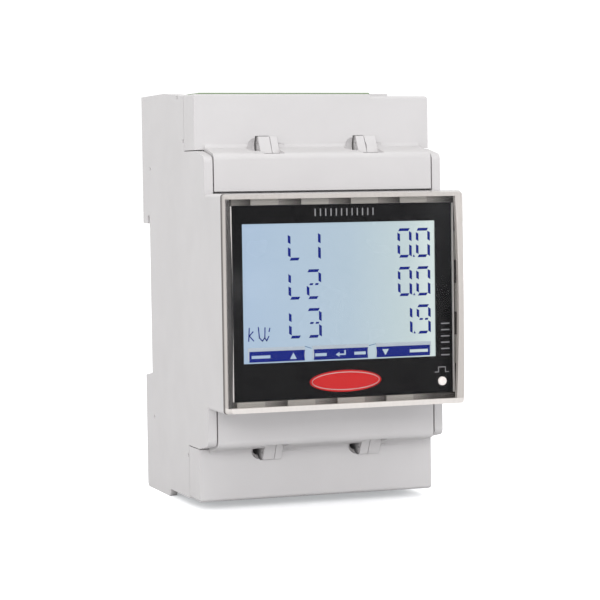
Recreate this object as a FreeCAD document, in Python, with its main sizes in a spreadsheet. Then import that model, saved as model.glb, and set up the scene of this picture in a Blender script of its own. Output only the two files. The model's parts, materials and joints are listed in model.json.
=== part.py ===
import FreeCAD, Part
import os
import re

import Sketcher

# Three-module DIN-rail electric meter, modelled as an assembly of separate pieces.
#
# Frame: X to the right of somebody facing the display, Y from the display towards the rail, Z up.
# The origin is in the middle of the meter's outline, at the level of its lowest point.
# Places are given as a depth from the rear face and a height. The covers and the terminals
# mirror each other about the middle height.

DIMENSIONS = {
    # overall shape
    "width": 54.0,
    "height": 90.8,
    "middle": 45.5,
    "rear_face": 32.8,
    "wall": 1.6,
    "film": 0.3,
    "tub_back": 8.4,
    "recess_slope": 0.8,
    # depths from the rear face
    "foot_depth": 19.5,
    "ridge_end": 18.9,
    "cover_start": 35.0,
    "shoulder_depth": 43.0,
    "strip_depth": 49.9,
    "block_depth": 61.2,
    "rim_depth": 64.0,
    "window_bow": 1.6,
    "tub_depth": 44.9,
    "pocket_floor": 46.5,
    # heights above or below the middle height
    "shoulder_half": 43.8,
    "corner_half": 45.1,
    "slope_half": 44.15,
    "split_half": 32.1,
    "cheek_half": 30.8,
    "floor_half": 31.0,
    "block_half": 22.9,
    "rim_half": 22.6,
    # half widths
    "cheek_inner": 25.1,
    "frame_side": 23.4,
    "frame_half": 19.6,
    # rail recess
    "seat_depth": 5.2,
    "recess_depth": 5.5,
    "seat_side": 18.0,
    "seat_half": 11.5,
    "hook_depth": 4.0,
    "recess_low": 26.2,
    "recess_top": 61.6,
    "rail_top": 63.4,
    # covers
    "cover_gap": 0.2,
    "lip_raise": 0.46,
    "lip_length": 40.3,
    "strip_gap": 0.45,
    "ledge_back": 32.8,
    "ledge_front": 31.3,
    "crease_radius": 1.1,
    "strip_radius": 1.5,
    # seal tabs
    "tab_width": 2.55,
    "tab_less": 0.7,
    "ear_more": 1.0,
    "ear_width": 1.55,
    "tab_pitch": 22.53,
    "tab_left": -12.88,
    "tab_top": 35.1,
    "tab_nose": 43.7,
    "tab_foot": 45.6,
    "wire_radius": 0.45,
    "wire_drop": 1.7,
    "wire_rise": 0.35,
    "slot_play": 0.42,
    "slot_fit": 0.12,
    "scoop_radius": 2.6,
    "scoop_lift": 1.95,
    "deep_scoop_radius": 1.95,
    "deep_scoop_lift": 0.0,
    "scoop_rise": 0.3,
    "pin_depth": 6.7,
    "pin_raise": 28.6,
    "mark_depth": 34.4,
    "mark_raise": 34.4,
    "pin_radius": 0.45,
    "stop_depth": 30.1,
    "stop_drop": 1.3,
    # display window and what lies behind it
    "window_draft": 0.9,
    "window_side": 1.3,
    "window_edge": 1.1,
    "window_face": 1.0,
    "corner_radius": 0.7,
    "mask_side": 24.95,
    "mask_half": 20.4,
    "mask_front": 61.7,
    "ring_side": 25.65,
    "ring_half": 21.7,
    "ring_front": 62.2,
    "tooth_pitch": 11.1,
    "tooth_length": 6.1,
    "upper_tooth_shift": -1.05,
    "lower_tooth_shift": -4.6,
    "lcd_centre": -0.9,
    "lcd_raise": 2.0,
    "lcd_width": 43.3,
    "lcd_height": 29.1,
    "lcd_margin": 0.8,
    "lcd_front": 61.1,
    "lcd_thick": 1.1,
    "guide_thick": 2.2,
    "key_width": 12.6,
    "key_height": 2.6,
    "key_pitch": 14.3,
    "key_raise": -12.6,
    "lamp_across": 22.0,
    "lamp_raise": -17.9,
    "lamp_radius": 0.92,
    "lamp_pipe_back": 58.05,
    "badge_across": -0.13,
    "badge_raise": -16.9,
    "badge_long": 8.0,
    "badge_short": 2.3,
    # boards
    "post_across": 22.6,
    "post_half": 21.0,
    "post_radius": 2.2,
    "board_thick": 1.6,
    "board_screw_radius": 1.0,
    "board_screw_head": 1.9,
    "header_pitch": 2.54,
    "pin_half": 0.32,
    "strip_half": 1.25,
    "display_board_depth": 55.2,
    "supply_board_depth": 38.4,
    "measuring_board_depth": 27.5,
    # terminal blocks
    "block_front": 33.5,
    "block_back": 13.0,
    "upper_pitch": 5.0,
    "lower_pitch": 7.62,
    "upper_block_left": -23.1,
    "lower_block_left": -24.1,
    "terminal_top": 44.95,
    "terminal_floor": 31.2,
    "well_side": 1.9,
    "screw_radius": 1.0,
    "screw_head_radius": 1.7,
    "screw_fit": 0.1,
    "screw_raise": 6.2,
    "cage_half": 1.8,
    "cage_sheet": 0.45,
    "bar_half": 1.2,
    "bar_thick": 0.8,
    # rail clip
    "clip_half": 8.0,
    "clip_flange": 1.4,
    "clip_front": 3.9,
    "clip_back": 0.6,
    "clip_low": 0.6,
    "flange_low": 5.8,
    "flange_back": 2.5,
    "clip_nose": 30.2,
    "clip_fit": 0.2,
    "spring_radius": 1.3,
    "spring_wire": 0.25,
    "spring_low": 10.2,
    "spring_high": 21.0,
    "spring_room": 1.9,
    "spring_play": 0.1,
    # instrument transformers
    "coil_radius": 7.0,
    "coil_bore": 3.2,
    "coil_height": 8.0,
    "coil_pitch": 16.4,
    "coil_depth": 17.0,
}

UPPER_POLES = 8
LOWER_POLES = 6
UPPER = 1
LOWER = -1

doc = FreeCAD.newDocument("electric_meter")
sheet = doc.addObject("Spreadsheet::Sheet", "sheet")
for row, (alias, value) in enumerate(DIMENSIONS.items(), start=1):
    sheet.set(f"A{row}", alias)
    sheet.set(f"B{row}", str(value))
    sheet.setAlias(f"B{row}", alias)
doc.recompute()

pieces = []


def formula(text):
    """Turns the names of driving dimensions in a text into references to the sheet."""
    return re.sub(r"[a-z_]+", lambda word: _reference(word.group()), str(text))


def _reference(word):
    return f"sheet.{word}" if word in DIMENSIONS else word


def value_of(text):
    """The number that a formula gives, in millimetres."""
    names = dict(DIMENSIONS)
    number = re.compile(r"[a-z_]+").sub(lambda word: repr(names.get(word.group(), word.group())), str(text))
    return float(sheet.evalExpression(number))


def at_depth(depth):
    """The Y place of a depth from the rear face."""
    return f"rear_face - ({depth})"


def at_height(side, half):
    """The Z place of a height from the middle, above for the upper side and below for the lower."""
    sign = "+" if side == UPPER else "-"
    return f"middle {sign} ({half})"


def bind(item, attribute, text):
    item.setExpression(attribute, formula(text))


def keep(item, node):
    """Names a finished sub-part and puts it on the list of pieces to write."""
    item.Label = node
    pieces.append(item)
    return item


def ordered(first, second):
    """Two formulas in rising order of their values."""
    return (first, second) if value_of(first) <= value_of(second) else (second, first)


# ---------------------------------------------------------------- primitives


def box(name, across, depths, heights):
    """A box between two X places, two depths and two Z places."""
    low_x, high_x = ordered(*across)
    low_y, high_y = ordered(at_depth(depths[0]), at_depth(depths[1]))
    low_z, high_z = ordered(*heights)
    item = doc.addObject("Part::Box", name)
    for attribute, low, high in (
        ("Length", low_x, high_x),
        ("Width", low_y, high_y),
        ("Height", low_z, high_z),
    ):
        bind(item, attribute, f"({high}) - ({low})")
    for axis, low in (("x", low_x), ("y", low_y), ("z", low_z)):
        bind(item, f"Placement.Base.{axis}", low)
    return item


def rod(name, centre, radius, length, direction, angle=360.0):
    """A cylinder from a base point (X, depth, Z), along X, forwards (F) or up (Z)."""
    across, depth, height = centre
    item = doc.addObject("Part::Cylinder", name)
    turns = {
        "X": FreeCAD.Rotation(FreeCAD.Vector(0, 1, 0), 90),
        "F": FreeCAD.Rotation(FreeCAD.Vector(1, 0, 0), 90),
        "Z": FreeCAD.Rotation(),
    }
    item.Placement.Rotation = turns[direction]
    item.Angle = angle
    bind(item, "Radius", radius)
    bind(item, "Height", length)
    for axis, place in (("x", across), ("y", at_depth(depth)), ("z", height)):
        bind(item, f"Placement.Base.{axis}", place)
    return item


def ball(name, centre, radius):
    """A sphere about a point (X, depth, Z)."""
    item = doc.addObject("Part::Sphere", name)
    bind(item, "Radius", radius)
    across, depth, height = centre
    for axis, place in (("x", across), ("y", at_depth(depth)), ("z", height)):
        bind(item, f"Placement.Base.{axis}", place)
    return item


def joined(name, shapes):
    item = doc.addObject("Part::MultiFuse", name)
    item.Shapes = shapes
    item.Refine = True
    return item


def cut_from(name, base, tools):
    item = doc.addObject("Part::Cut", name)
    item.Base = base
    item.Tool = tools[0] if len(tools) == 1 else joined(f"{name}_tools", tools)
    item.Refine = True
    return item


def grouped(name, shapes):
    """Several separate solids under one name."""
    item = doc.addObject("Part::Compound", name)
    item.Links = shapes
    return item


# ---------------------------------------------------------------- sketches and features


def new_body(name):
    return doc.addObject("PartDesign::Body", name)


def outline(body, plane, name, corners):
    """A closed sketch on one of the body's own planes, each corner bound to two formulas."""
    origin_plane = [item for item in body.Origin.OriginFeatures if item.Role == plane][0]
    sketch = body.newObject("Sketcher::SketchObject", name)
    sketch.AttachmentSupport = [(origin_plane, "")]
    sketch.MapMode = "FlatFace"
    points = [FreeCAD.Vector(value_of(across), value_of(up), 0) for across, up in corners]
    count = len(points)
    for index in range(count):
        sketch.addGeometry(Part.LineSegment(points[index], points[(index + 1) % count]), False)
    for index in range(count):
        sketch.addConstraint(Sketcher.Constraint("Coincident", index, 2, (index + 1) % count, 1))
    for index, (across, up) in enumerate(corners):
        sizes = (("DistanceX", across, points[index].x), ("DistanceY", up, points[index].y))
        for kind, text, value in sizes:
            number = sketch.addConstraint(Sketcher.Constraint(kind, index, 1, value))
            sketch.setExpression(f"Constraints[{number}]", formula(text))
    return sketch


def profile(body, name, corners):
    """A closed sketch seen from the side, its corners given as depth and Z place."""
    return outline(body, "YZ_Plane", name, [(at_depth(depth), height) for depth, height in corners])


def pad(body, name, sketch, length):
    """Material on both sides of the sketch, this wide in all."""
    feature = body.newObject("PartDesign::Pad", name)
    feature.Profile = sketch
    feature.SideType = "Symmetric"
    bind(feature, "Length", length)
    doc.recompute()
    return feature


def pocket(body, name, sketch, length):
    """A cut on both sides of the sketch, this wide in all."""
    before = body.Shape.Volume
    feature = body.newObject("PartDesign::Pocket", name)
    feature.Profile = sketch
    feature.SideType = "Symmetric"
    bind(feature, "Length", length)
    doc.recompute()
    if not body.Shape.Volume < before:
        raise RuntimeError(f"{name} cuts nothing")
    return feature


def runs_through(edge, fixed):
    """True where every end of the edge has the coordinates in fixed, such as {'y': 3, 'z': 4}."""
    ends = [vertex.Point for vertex in edge.Vertexes]
    return len(ends) == 2 and all(
        abs(getattr(end, axis) - place) < 0.01 for end in ends for axis, place in fixed.items()
    )


def round_edges(body, name, radius, places):
    """Rounds each edge of the body that runs through one of the places."""
    solid = body.Tip
    names = []
    for number, edge in enumerate(solid.Shape.Edges, start=1):
        if any(runs_through(edge, fixed) for fixed in places):
            names.append(f"Edge{number}")
    if not names:
        raise RuntimeError(f"{name} finds no edge")
    feature = body.newObject("PartDesign::Fillet", name)
    feature.Base = (solid, names)
    bind(feature, "Radius", radius)
    doc.recompute()
    return feature


def side_edge(depth, height):
    """The place of an edge that runs across the meter."""
    return {"y": value_of(at_depth(depth)), "z": value_of(height)}


def long_edge(across, height):
    """The place of an edge that runs from front to back."""
    return {"x": value_of(across), "z": value_of(height)}


# ---------------------------------------------------------------- housing


def housing_shell():
    """Side silhouette drawn once, padded to the full width and hollowed."""
    body = new_body("housing_shell")
    corners = [("0", "0"), ("foot_depth", "0"), ("foot_depth", at_height(LOWER, "shoulder_half"))]
    lower = [
        ("cover_start", "shoulder_half"),
        ("cover_start", "split_half"),
        ("shoulder_depth", "split_half"),
        ("strip_depth", "cheek_half"),
        ("strip_depth", "block_half"),
        ("block_depth", "block_half"),
    ]
    corners += [(depth, at_height(LOWER, half)) for depth, half in lower]
    corners += [(depth, at_height(UPPER, half)) for depth, half in reversed(lower)]
    corners += [
        ("cover_start", at_height(UPPER, "slope_half")),
        ("ridge_end", "height"),
        ("0", "height"),
        ("0", "recess_top"),
        ("hook_depth", "recess_top"),
        ("hook_depth", "rail_top"),
        ("recess_depth", "rail_top"),
        ("recess_depth", "recess_low + recess_slope"),
        ("0", "recess_low"),
    ]
    pad(body, "shell_block", profile(body, "shell_outline", corners), "width")
    round_edges(
        body,
        "shell_cheek_rounds",
        "strip_radius",
        [side_edge("strip_depth", at_height(side, "cheek_half")) for side in (UPPER, LOWER)],
    )
    round_edges(body, "shell_foot_round", "1.2", [side_edge("0", "0"), side_edge("foot_depth", "0")])
    block_corners = [
        long_edge(f"{sign} width / 2", at_height(side, "block_half"))
        for sign in "+-"
        for side in (UPPER, LOWER)
    ]
    round_edges(body, "shell_block_rounds", "corner_radius", block_corners)
    tub = [
        ("-1", "wall"),
        ("tub_back", "wall"),
        ("tub_back", at_height(LOWER, "floor_half - wall")),
        ("tub_depth", at_height(LOWER, "floor_half - wall")),
        ("tub_depth", at_height(LOWER, "block_half - wall")),
        ("block_depth - wall", at_height(LOWER, "block_half - wall")),
        ("block_depth - wall", at_height(UPPER, "block_half - wall")),
        ("tub_depth", at_height(UPPER, "block_half - wall")),
        ("tub_depth", at_height(UPPER, "floor_half - wall")),
        ("tub_back", at_height(UPPER, "floor_half - wall")),
        ("tub_back", at_height(UPPER, "corner_half - wall")),
        ("-1", at_height(UPPER, "corner_half - wall")),
    ]
    pocket(body, "shell_hollow", profile(body, "shell_hollow_outline", tub), "width - 2 * wall")
    for side, word in ((UPPER, "upper"), (LOWER, "lower")):
        strip = [
            ("pocket_floor", at_height(side, "block_half")),
            ("strip_depth + 1", at_height(side, "block_half")),
            ("strip_depth + 1", at_height(side, "split_half + 1")),
            ("cover_start - 1", at_height(side, "split_half + 1")),
            ("cover_start - 1", at_height(side, "floor_half")),
            ("pocket_floor", at_height(side, "floor_half")),
        ]
        sketch = profile(body, f"shell_{word}_strip_outline", strip)
        pocket(body, f"shell_{word}_strip_pocket", sketch, "2 * cheek_inner")
    return body


def terminal_well(side, left, right):
    """The space that holds a terminal block, open to the front and to the wires."""
    return box(
        f"well_{side + 1}",
        (left, right),
        ("block_back - 3", "cover_start + 1"),
        (at_height(side, "floor_half"), at_height(side, "shoulder_half + 4")),
    )


def tab_place(index):
    """Left edge, width of the housing's tab and width of the cover's ear beside it."""
    left = f"tab_left + {index} * tab_pitch"
    if index == 0:
        return left, "tab_width", "ear_width"
    return left, "(tab_width - tab_less)", "(ear_width + ear_more)"


def ramp_piece(name, side, across, back):
    """A block whose front face slants outwards from the shoulder to the ledge."""
    body = new_body(f"{name}_ramp")
    corners = [
        (back, at_height(side, "ledge_front + slot_fit")),
        ("tab_foot", at_height(side, "ledge_front + slot_fit")),
        ("tab_nose", at_height(side, "tab_top")),
        (back, at_height(side, "tab_top")),
    ]
    pad(body, f"{name}_ramp_pad", profile(body, f"{name}_ramp_outline", corners), "width")
    piece = doc.addObject("Part::Common", name)
    heights = (at_height(side, "ledge_front"), at_height(side, "tab_top + 1"))
    piece.Base = box(f"{name}_limit", across, (back, "tab_foot"), heights)
    piece.Tool = body
    return piece


def seal_tab(side, index):
    """A tab that pokes through the cover, with a hole for the sealing wire."""
    left, width, _ = tab_place(index)
    name = f"seal_tab_{side + 1}_{index}"
    blade = ramp_piece(name, side, (left, f"{left} + {width}"), "cover_start + 1")
    root = box(
        f"{name}_root",
        (left, f"{left} + {width}"),
        ("cover_start + 1", "shoulder_depth - wall - 0.6"),
        (at_height(side, "floor_half - 0.1"), at_height(side, "ledge_back")),
    )
    hole = seal_wire_hole(f"{name}_hole", side, index)
    return cut_from(f"{name}_pierced", joined(f"{name}_whole", [blade, root]), [hole])


def seal_wire_hole(name, side, index):
    left, _, _ = tab_place(index)
    return rod(
        name,
        (f"{left} - 1", "shoulder_depth + wire_rise", at_height(side, "tab_top - wire_drop")),
        "wire_radius",
        "tab_width + ear_width + 3",
        "X",
    )


def pole_centres(side):
    """X places of the poles of a terminal block."""
    if side == UPPER:
        return [f"upper_block_left + ({pole} + 0.5) * upper_pitch" for pole in range(UPPER_POLES)]
    return [f"lower_block_left + ({pole} + 0.5) * lower_pitch" for pole in range(LOWER_POLES)]


def main_housing():
    shell = housing_shell()
    half = "width / 2 - wall"
    upper_block_right = f"upper_block_left + {UPPER_POLES} * upper_pitch"
    tools = [
        terminal_well(UPPER, "upper_block_left - 0.3", f"{upper_block_right} + 0.3"),
        terminal_well(LOWER, f"-({half})", half),
        box(
            "spare_bay",
            (f"{upper_block_right} + 0.3 + wall", half),
            ("block_back - 5", "block_front - wall"),
            (at_height(UPPER, "floor_half - wall - 0.1"), at_height(UPPER, "shoulder_half - wall")),
        ),
        box(
            "spare_bay_front",
            (f"{upper_block_right} + 0.2", half),
            ("block_front", "cover_start + 1"),
            (at_height(UPPER, "floor_half"), at_height(UPPER, "shoulder_half + 4")),
        ),
        box(
            "spare_bay_top",
            (f"{upper_block_right} + 0.2", "width / 2 + 1"),
            ("ridge_end", "cover_start + 1"),
            (at_height(UPPER, "shoulder_half"), at_height(UPPER, "shoulder_half + 4")),
        ),
        box(
            "display_opening",
            ("-frame_side", "frame_side"),
            ("block_depth - wall - 1", "block_depth + 1"),
            (at_height(LOWER, "frame_half"), at_height(UPPER, "frame_half")),
        ),
        rod(
            "lamp_opening",
            ("lamp_across", "block_depth - wall - 1", at_height(UPPER, "lamp_raise")),
            "lamp_radius + 0.3",
            "wall + 2",
            "F",
        ),
    ]
    tools.append(
        box(
            "clip_notch",
            ("-(clip_half + clip_fit)", "clip_half + clip_fit"),
            ("-1", "clip_front + clip_fit"),
            ("-1", "wall + 0.1"),
        )
    )
    for side in (UPPER, LOWER):
        for index, centre in enumerate(pole_centres(side)):
            slot = box(
                f"bar_slot_{side + 1}_{index}",
                (f"{centre} - bar_half - 0.2", f"{centre} + bar_half + 0.2"),
                ("measuring_board_depth - bar_thick - 0.1", "measuring_board_depth + 0.1"),
                (at_height(side, "floor_half - wall - 0.5"), at_height(side, "floor_half + 0.5")),
            )
            tools.append(slot)
        marks = (("pin", "pin_depth", "pin_raise"), ("mark", "mark_depth", "mark_raise"))
        for mark, depth, raised in marks:
            for flank, start in (("left", "-width / 2 - 1"), ("right", "width / 2 - 0.8")):
                place = (start, depth, at_height(side, raised))
                tools.append(rod(f"{flank}_{mark}_hole_{side + 1}", place, "pin_radius", "1.8", "X"))
    stop_place = ("-width / 2 - 1", "stop_depth", "height - stop_drop")
    tools.append(rod("stop_hole", stop_place, "pin_radius", "1.8", "X"))
    hollowed = cut_from("housing_hollowed", shell, tools)
    tabs = [seal_tab(side, index) for side in (UPPER, LOWER) for index in (0, 1)]
    pegs = [
        box(
            f"display_peg_{sign_x}{sign_z}",
            (f"{sign_x} 24.9", f"{sign_x} 23.5"),
            ("display_board_depth + board_thick", "block_depth - wall + 0.2"),
            (f"middle {sign_z} 20.9", f"middle {sign_z} 19.4"),
        )
        for sign_x in "+-"
        for sign_z in "+-"
    ]
    keep(joined("main_housing", [hollowed, *tabs, *pegs]), "main_housing")


def rear_cover():
    """The plate behind the boards: it holds the rail seat, the clip guides and the board posts."""
    body = new_body("rear_plate")
    low = "wall + film"
    high = "middle + corner_half - wall - film"
    corners = [
        ("0", low),
        ("0", "recess_low"),
        ("recess_depth", "recess_low + recess_slope"),
        ("recess_depth", "rail_top"),
        ("hook_depth", "rail_top"),
        ("hook_depth", "recess_top"),
        ("0", "recess_top"),
        ("0", high),
        ("wall", high),
        ("wall", "rail_top + wall"),
        ("recess_depth + wall", "rail_top + wall"),
        ("recess_depth + wall", "recess_low - 1.4"),
        ("clip_front + 1.7", "recess_low - 1.4"),
        ("clip_front + 1.7", low),
    ]
    sketch = profile(body, "rear_plate_outline", corners)
    pad(body, "rear_plate_block", sketch, "2 * (width / 2 - wall - film)")
    channel = box(
        "clip_channel",
        ("-(clip_half + clip_fit)", "clip_half + clip_fit"),
        ("-1", "clip_front + clip_fit"),
        ("0", "recess_low + 2"),
    )
    guides = box(
        "clip_guides",
        ("-(clip_half + clip_flange + clip_fit)", "clip_half + clip_flange + clip_fit"),
        ("flange_back - clip_fit", "clip_front + clip_fit"),
        ("0", "recess_low + 0.9"),
    )
    nose_space = box(
        "clip_nose_space",
        ("-(clip_half + clip_fit)", "clip_half + clip_fit"),
        ("-1", "clip_front + clip_fit"),
        ("recess_low", "clip_nose + 2"),
    )
    peg = box(
        "spring_peg",
        ("-(spring_room - clip_fit)", "spring_room - clip_fit"),
        ("clip_back + 0.3", "clip_front + 0.4"),
        ("spring_low - 2", "spring_low"),
    )
    posts = [
        rod(
            f"board_post_{sign_x}{sign_z}",
            (f"{sign_x} post_across", "wall - 0.6", f"middle {sign_z} post_half"),
            "post_radius",
            "measuring_board_depth - wall + 0.6",
            "F",
        )
        for sign_x in "+-"
        for sign_z in "+-"
    ]
    screw_holes = [
        rod(
            f"post_hole_{sign_x}{sign_z}",
            (f"{sign_x} post_across", "measuring_board_depth - 6", f"middle {sign_z} post_half"),
            "board_screw_radius + 0.05",
            "7",
            "F",
        )
        for sign_x in "+-"
        for sign_z in "+-"
    ]
    plate = cut_from("rear_plate_channelled", body, [channel, guides, nose_space])
    seat_pad = box(
        "rail_seat_pad",
        ("-seat_side", "seat_side"),
        ("seat_depth", "recess_depth + 0.5"),
        ("middle - seat_half", "middle + seat_half"),
    )
    posted = joined("rear_plate_posted", [plate, peg, seat_pad, *posts])
    keep(cut_from("rear_cover", posted, screw_holes), "rear_cover")


# ---------------------------------------------------------------- terminal covers


def cover_lip(node):
    """The raised top edge of the upper cover, in front of the terminal block."""
    body = new_body(f"{node}_lip")
    rear = "cover_start + cover_gap"
    lip_low = at_height(UPPER, "shoulder_half - 1")
    lip_high = at_height(UPPER, "shoulder_half + lip_raise")
    corners = [(rear, lip_low), ("shoulder_depth", lip_low), ("shoulder_depth", lip_high), (rear, lip_high)]
    pad(body, f"{node}_lip_pad", profile(body, f"{node}_lip_outline", corners), "lip_length")
    ends = [long_edge(f"{sign} lip_length / 2", lip_high) for sign in "+-"]
    round_edges(body, f"{node}_lip_round", "0.4", [*ends, side_edge("shoulder_depth", lip_high)])
    bind(body, "Placement.Base.x", "(lip_length - width) / 2")
    return body


def terminal_cover(side, node):
    """Shoulder wall, side walls and forward strip in one moulding, with two seal slots."""
    body = new_body(f"{node}_moulding")
    low = "split_half + cover_gap"
    rear = "cover_start + cover_gap"
    outer = [
        (rear, at_height(side, low)),
        ("shoulder_depth", at_height(side, low)),
        ("shoulder_depth", at_height(side, "shoulder_half")),
        (rear, at_height(side, "shoulder_half")),
    ]
    inner = [
        (f"{rear} - 1", at_height(side, f"{low} - 1")),
        ("shoulder_depth - wall", at_height(side, f"{low} - 1")),
        ("shoulder_depth - wall", at_height(side, "shoulder_half - wall")),
        (f"{rear} - 1", at_height(side, "shoulder_half - wall")),
    ]
    strip = [
        ("shoulder_depth - wall", at_height(side, "ledge_back - wall")),
        ("shoulder_depth - wall", at_height(side, "ledge_back + 0.6")),
        ("shoulder_depth", at_height(side, "ledge_back + 0.6")),
        ("shoulder_depth", at_height(side, "ledge_back")),
        ("strip_depth", at_height(side, "ledge_front")),
        ("strip_depth", at_height(side, "block_half + strip_gap")),
        ("strip_depth - wall", at_height(side, "block_half + strip_gap")),
        ("strip_depth - wall", at_height(side, "ledge_front - wall")),
        ("pocket_floor + 0.3", at_height(side, "floor_half + 0.15")),
    ]
    pad(body, f"{node}_block", profile(body, f"{node}_outer", outer), "width")
    pocket(body, f"{node}_hollow", profile(body, f"{node}_inner", inner), "width - 2 * wall")
    pad(body, f"{node}_strip", profile(body, f"{node}_strip_outline", strip), "2 * (cheek_inner - film)")
    round_edges(
        body,
        f"{node}_crease",
        "crease_radius",
        [side_edge("shoulder_depth", at_height(side, "ledge_back"))],
    )
    round_edges(
        body,
        f"{node}_strip_round",
        "strip_radius",
        [side_edge("strip_depth", at_height(side, "ledge_front"))],
    )
    corners = [long_edge(f"{sign} width / 2", at_height(side, "shoulder_half")) for sign in "+-"]
    top_edge = side_edge("shoulder_depth", at_height(side, "shoulder_half"))
    round_edges(body, f"{node}_outer_round", "0.7", [*corners, top_edge])
    if side == UPPER:
        moulding = joined(f"{node}_raised", [body, cover_lip(node)])
        scoop_size, scoop_lift = "scoop_radius", "scoop_lift"
    else:
        moulding = body
        scoop_size, scoop_lift = "deep_scoop_radius", "deep_scoop_lift"
    trenches = []
    tools = []
    ears = []
    for index in (0, 1):
        left, tab_wide, ear_wide = tab_place(index)
        slot_left = f"{left} - slot_play"
        slot_right = f"{left} + {tab_wide} + slot_fit"
        ear_right = f"{slot_right} + {ear_wide}"
        trenches.append(
            box(
                f"{node}_trench_{index}",
                (slot_left, ear_right),
                ("shoulder_depth", "strip_depth + 1"),
                (at_height(side, "ledge_front"), at_height(side, "ledge_back + 0.2")),
            )
        )
        tools.append(
            box(
                f"{node}_slot_{index}",
                (slot_left, slot_right),
                ("shoulder_depth - wall - 1.5", "strip_depth + 1"),
                (at_height(side, "ledge_front"), at_height(side, "tab_top + slot_fit")),
            )
        )
        scoop_depth = f"shoulder_depth + {scoop_lift}"
        scoop_place = (slot_left, scoop_depth, at_height(side, "ledge_back + scoop_rise"))
        tools.append(ball(f"{node}_scoop_{index}", scoop_place, scoop_size))
        ears.append(ramp_piece(f"{node}_ear_{index}", side, (slot_right, ear_right), "shoulder_depth - 0.5"))
        tools.append(seal_wire_hole(f"{node}_wire_hole_{index}", side, index))
    trenched = cut_from(f"{node}_trenched", moulding, trenches)
    keep(cut_from(node, joined(f"{node}_eared", [trenched, *ears]), tools), node)


# ---------------------------------------------------------------- display


def display_window():
    """Clear window: tapered sides, a front bowed from top to bottom, open at the rear."""
    body = new_body("window_moulding")
    straight = [
        ("block_depth", at_height(LOWER, "block_half")),
        ("rim_depth", at_height(LOWER, "rim_half")),
        ("rim_depth", at_height(UPPER, "rim_half")),
        ("block_depth", at_height(UPPER, "block_half")),
    ]
    pad(body, "window_block", profile(body, "window_outline", straight), "width")
    bow_radius = "((rim_half * rim_half) + (window_bow * window_bow)) / (2 * window_bow)"
    bow = rod(
        "window_bow_drum",
        ("-width / 2", f"rim_depth + window_bow - {bow_radius}", "middle"),
        bow_radius,
        "width",
        "X",
    )
    bow_limit = box(
        "window_bow_limit",
        ("-width / 2", "width / 2"),
        ("rim_depth - 0.001", "rim_depth + window_bow + 1"),
        (at_height(LOWER, "rim_half"), at_height(UPPER, "rim_half")),
    )
    crown = doc.addObject("Part::Common", "window_crown")
    crown.Base = bow
    crown.Tool = bow_limit
    solid = joined("window_solid", [body, crown])
    hollow = window_hollow(bow_radius)
    wedges = [draft_wedge(sign) for sign in (1, -1)]
    shell = cut_from("window_shell", solid, [hollow, *wedges])
    doc.recompute()
    rounded = doc.addObject("Part::Fillet", "display_window")
    rounded.Base = shell
    rounded.Edges = window_corner_edges(shell.Shape)
    keep(rounded, "display_window")


def window_hollow(bow_radius):
    """The inside of the window, with a front face that follows the bow."""
    room = box(
        "window_room",
        ("-(width / 2 - window_side)", "width / 2 - window_side"),
        ("block_depth - 1", "rim_depth + window_bow"),
        (at_height(LOWER, "block_half - window_edge"), at_height(UPPER, "block_half - window_edge")),
    )
    drum = rod(
        "window_room_drum",
        ("-width / 2", f"rim_depth + window_bow - {bow_radius}", "middle"),
        f"{bow_radius} - window_face",
        "width",
        "X",
    )
    inside = doc.addObject("Part::Common", "window_inside")
    inside.Base = room
    inside.Tool = drum
    return inside


def draft_wedge(sign):
    """The sliver that gives one side of the window its taper."""
    body = new_body(f"window_taper_{sign + 1}")
    side = f"{sign} * width / 2"
    reach = "rim_depth + window_bow + 1 - block_depth"
    corners = [
        (side, at_depth("block_depth")),
        (f"{sign} * (width / 2 + 2)", at_depth("block_depth")),
        (f"{sign} * (width / 2 + 2)", at_depth(f"block_depth + {reach}")),
        (
            f"{sign} * (width / 2 - window_draft * ({reach}) / (rim_depth - block_depth))",
            at_depth(f"block_depth + {reach}"),
        ),
    ]
    sketch = outline(body, "XY_Plane", f"window_taper_{sign + 1}_outline", corners)
    pad(body, f"window_taper_{sign + 1}_pad", sketch, "3 * height")
    return body


def window_corner_edges(shape):
    """The four outer corner edges that run from the block to the front of the window."""
    chosen = []
    corner_x = DIMENSIONS["width"] / 2
    corner_z = DIMENSIONS["block_half"]
    for number, edge in enumerate(shape.Edges, start=1):
        ends = [vertex.Point for vertex in edge.Vertexes]
        if len(ends) != 2:
            continue
        first, second = ends
        outer = all(
            abs(end.x) > corner_x - DIMENSIONS["window_draft"] - 0.1
            and abs(end.z - DIMENSIONS["middle"]) > corner_z - 0.6
            for end in ends
        )
        if outer and abs(first.y - second.y) > 1:
            chosen.append((number, DIMENSIONS["corner_radius"], DIMENSIONS["corner_radius"]))
    return chosen


def tooth_shift(side):
    """How far a row of teeth lies to the right of the middle."""
    return "upper_tooth_shift" if side == UPPER else "lower_tooth_shift"


def tooth_boxes(name, depths, light):
    """Short blocks round the display: the light teeth, or the dark pads between them."""
    blocks = []
    pitch = "tooth_pitch"
    reach = "tooth_length / 2" if light else "((tooth_pitch - tooth_length) / 2 - 0.05)"
    across_count = 4 if light else 3
    up_count = 3 if light else 2
    for side in (UPPER, LOWER):
        for index in range(across_count):
            centre = f"({index} - {(across_count - 1) / 2}) * {pitch} + {tooth_shift(side)}"
            blocks.append(
                box(
                    f"{name}_flat_{side + 1}_{index}",
                    (f"{centre} - {reach}", f"{centre} + {reach}"),
                    depths,
                    (at_height(side, "mask_half + 0.05"), at_height(side, "ring_half")),
                )
            )
    for sign in (1, -1):
        for index in range(up_count):
            centre = f"middle + ({index} - {(up_count - 1) / 2}) * {pitch}"
            blocks.append(
                box(
                    f"{name}_upright_{sign + 1}_{index}",
                    (f"{sign} * (mask_side + 0.05)", f"{sign} * ring_side"),
                    depths,
                    (f"{centre} - {reach}", f"{centre} + {reach}"),
                )
            )
    return blocks


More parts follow.
